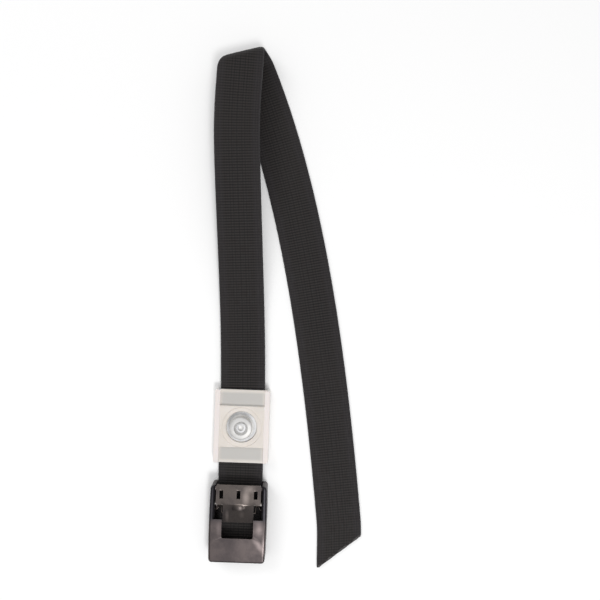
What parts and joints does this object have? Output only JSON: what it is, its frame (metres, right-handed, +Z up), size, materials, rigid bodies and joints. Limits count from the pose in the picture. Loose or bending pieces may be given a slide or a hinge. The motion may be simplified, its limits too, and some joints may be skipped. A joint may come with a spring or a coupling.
{
  "type": "esd wrist strap",
  "caption": "Woven anti-static wrist band folded over, with a spring cam buckle at one end and a sliding plastic carrier that holds a snap stud.",
  "frame": {"origin": "centre of the buckle's underside, on the table", "axes": "+Y along the band away from the buckle, +X across the band, +Z up, out of the buckle's top"},
  "size_m": [0.0714, 0.2331, 0.0134],
  "materials": {
    "buckle_metal": "black nickel plating, semi-bright, worn",
    "lever_metal": "black nickel plating, semi-bright",
    "pin_steel": "satin steel",
    "spring_steel": "drawn spring wire",
    "webbing": "black ribbed polyester weave with conductive yarn",
    "cover_plastic": "milky translucent moulded plastic",
    "contact_steel": "brushed stainless steel",
    "snap_nickel": "satin nickel plating"
  },
  "bodies": {
    "buckle": {"buckle_frame": "buckle_metal", "hinge_pin": "pin_steel", "lever_spring_left": "spring_steel", "lever_spring_right": "spring_steel", "anchor_plate": "lever_metal", "anchor_rivets": "pin_steel", "webbing_strap": "webbing"},
    "lever": {"clamp_lever": "lever_metal"},
    "snap_carrier": {"slide_cover": "cover_plastic", "contact_plate": "contact_steel", "contact_bridge": "contact_steel", "snap_washer": "snap_nickel", "snap_stud": "snap_nickel", "stud_eyelet": "snap_nickel"}
  },
  "joints": [
    {"name": "lever_hinge", "type": "hinge", "parent": "buckle", "child": "lever", "pos_m": [0, 0.0083, 0.00585], "axis": [1, 0, 0], "range_deg": [0, 12], "stiffness_Nm_per_rad": 0.04, "springref_deg": -28.65, "deforming": ["lever_spring_left", "lever_spring_right"]},
    {"name": "carrier_slide", "type": "slide", "parent": "buckle", "child": "snap_carrier", "axis": [0, 1, 0], "range_m": [-0.0075, 0.012]}
  ]
}
